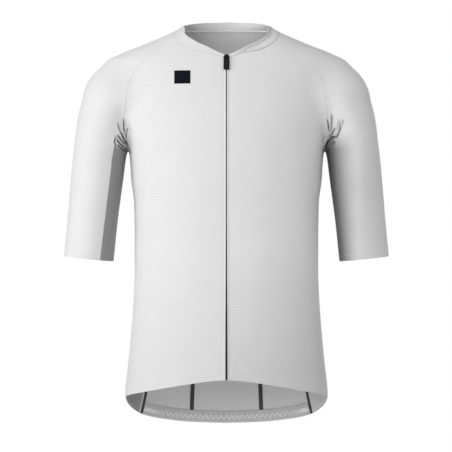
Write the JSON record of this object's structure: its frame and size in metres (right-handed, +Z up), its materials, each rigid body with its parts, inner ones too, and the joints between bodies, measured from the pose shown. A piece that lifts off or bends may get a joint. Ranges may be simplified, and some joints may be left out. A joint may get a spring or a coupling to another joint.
{
  "type": "cycling jersey",
  "caption": "Short-sleeved raglan cycling jersey with grey underarm and side strips, low collar, full front zip with a hinged pull tab, dropped back hem and back pockets.",
  "frame": {"origin": "the centre of the neck opening, at the height of the shoulder points of the collar seam, where the wearer's neck holds the jersey up", "axes": "+Z up, front facing -Y, the wearer's left at +X"},
  "size_m": [0.5842, 0.2332, 0.7436],
  "materials": {
    "white_knit": "matt fine-ribbed knit",
    "grey_mesh": "matt knitted mesh",
    "elastic_band": "matt woven elastic",
    "dark_tape": "matt woven tape",
    "zip_tape_weave": "matt woven tape",
    "zip_coil_plastic": "satin",
    "slider_black": "satin black",
    "pull_rubber": "matt black",
    "label_film": "smooth dark navy"
  },
  "bodies": {
    "jersey": {"front_right": "white_knit", "front_left": "white_knit", "back": "white_knit", "sleeve_right": "white_knit", "sleeve_left": "white_knit", "side_right": "grey_mesh", "side_left": "grey_mesh", "collar": "white_knit", "pockets": "white_knit", "hem_gripper": "elastic_band", "pocket_tape_right": "dark_tape", "pocket_tape_left": "dark_tape", "side_tape_right": "dark_tape", "side_tape_left": "dark_tape", "zip_tape": "zip_tape_weave", "zip_coil": "zip_coil_plastic", "zip_slider": "slider_black", "chest_label": "label_film"},
    "pull": {"zip_pull": "pull_rubber"}
  },
  "joints": [
    {"name": "pull_hinge", "type": "hinge", "parent": "jersey", "child": "pull", "pos_m": [0, -0.07778, -0.04843], "axis": [-1, 0, 0], "range_deg": [0, 150]}
  ]
}
